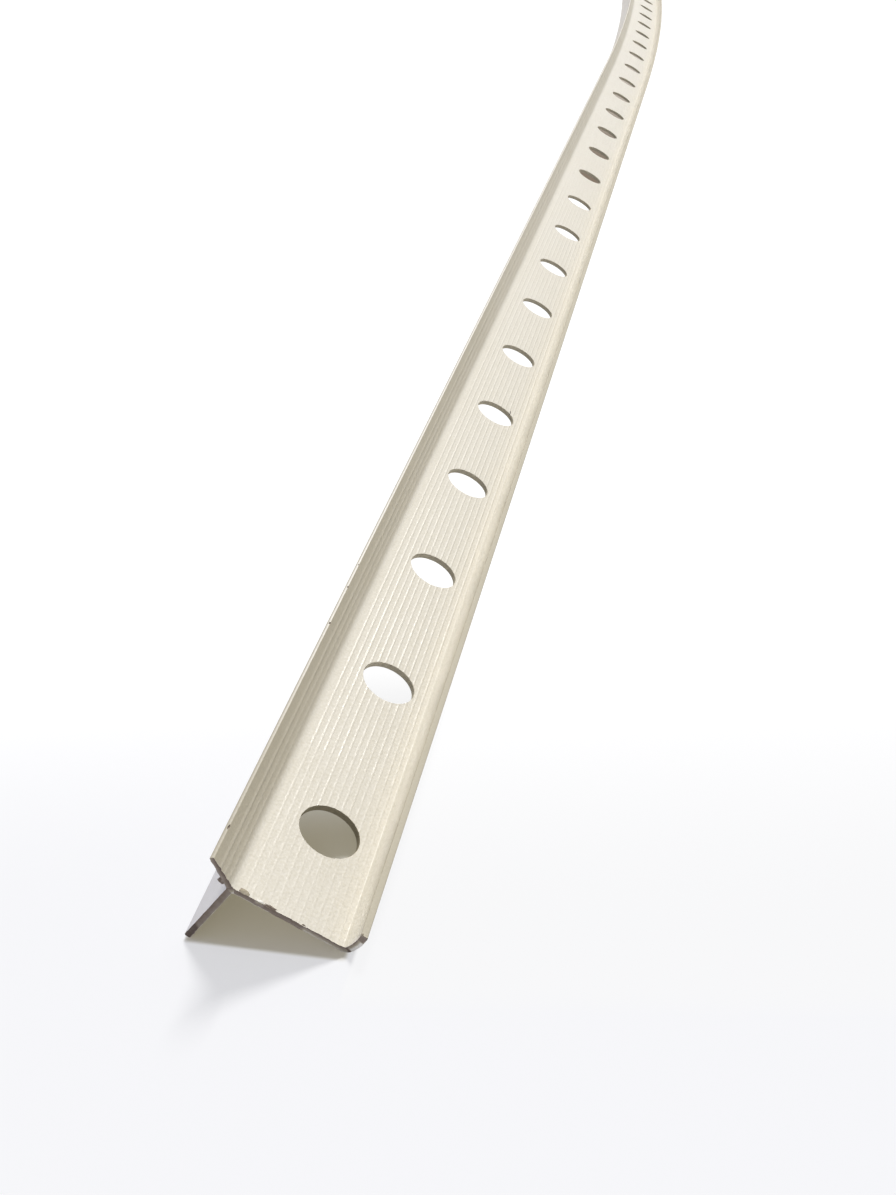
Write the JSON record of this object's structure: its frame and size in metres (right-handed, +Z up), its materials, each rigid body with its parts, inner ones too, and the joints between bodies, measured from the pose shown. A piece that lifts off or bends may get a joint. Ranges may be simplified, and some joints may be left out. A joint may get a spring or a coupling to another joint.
{
  "type": "plaster corner bead",
  "caption": "Long extruded plastic plaster corner bead with a Y-shaped section: a ribbed, perforated flange with a curled lip, a plain wing and a short nose.",
  "frame": {"origin": "middle of the bead's box, on the floor that it stands on", "axes": "+Y along the straight far run, away from the ragged end in the picture; +Z up, with the wing's edge and the lip's bend on the floor; the flange falls towards +X"},
  "size_m": [0.0888, 2.4994, 0.0181],
  "materials": {
    "ivory_plastic": "satin extruded plastic, fine ribs along its length, sawn ends"
  },
  "bodies": {
    "root": {"corner_bead": "ivory_plastic"}
  },
  "joints": []
}
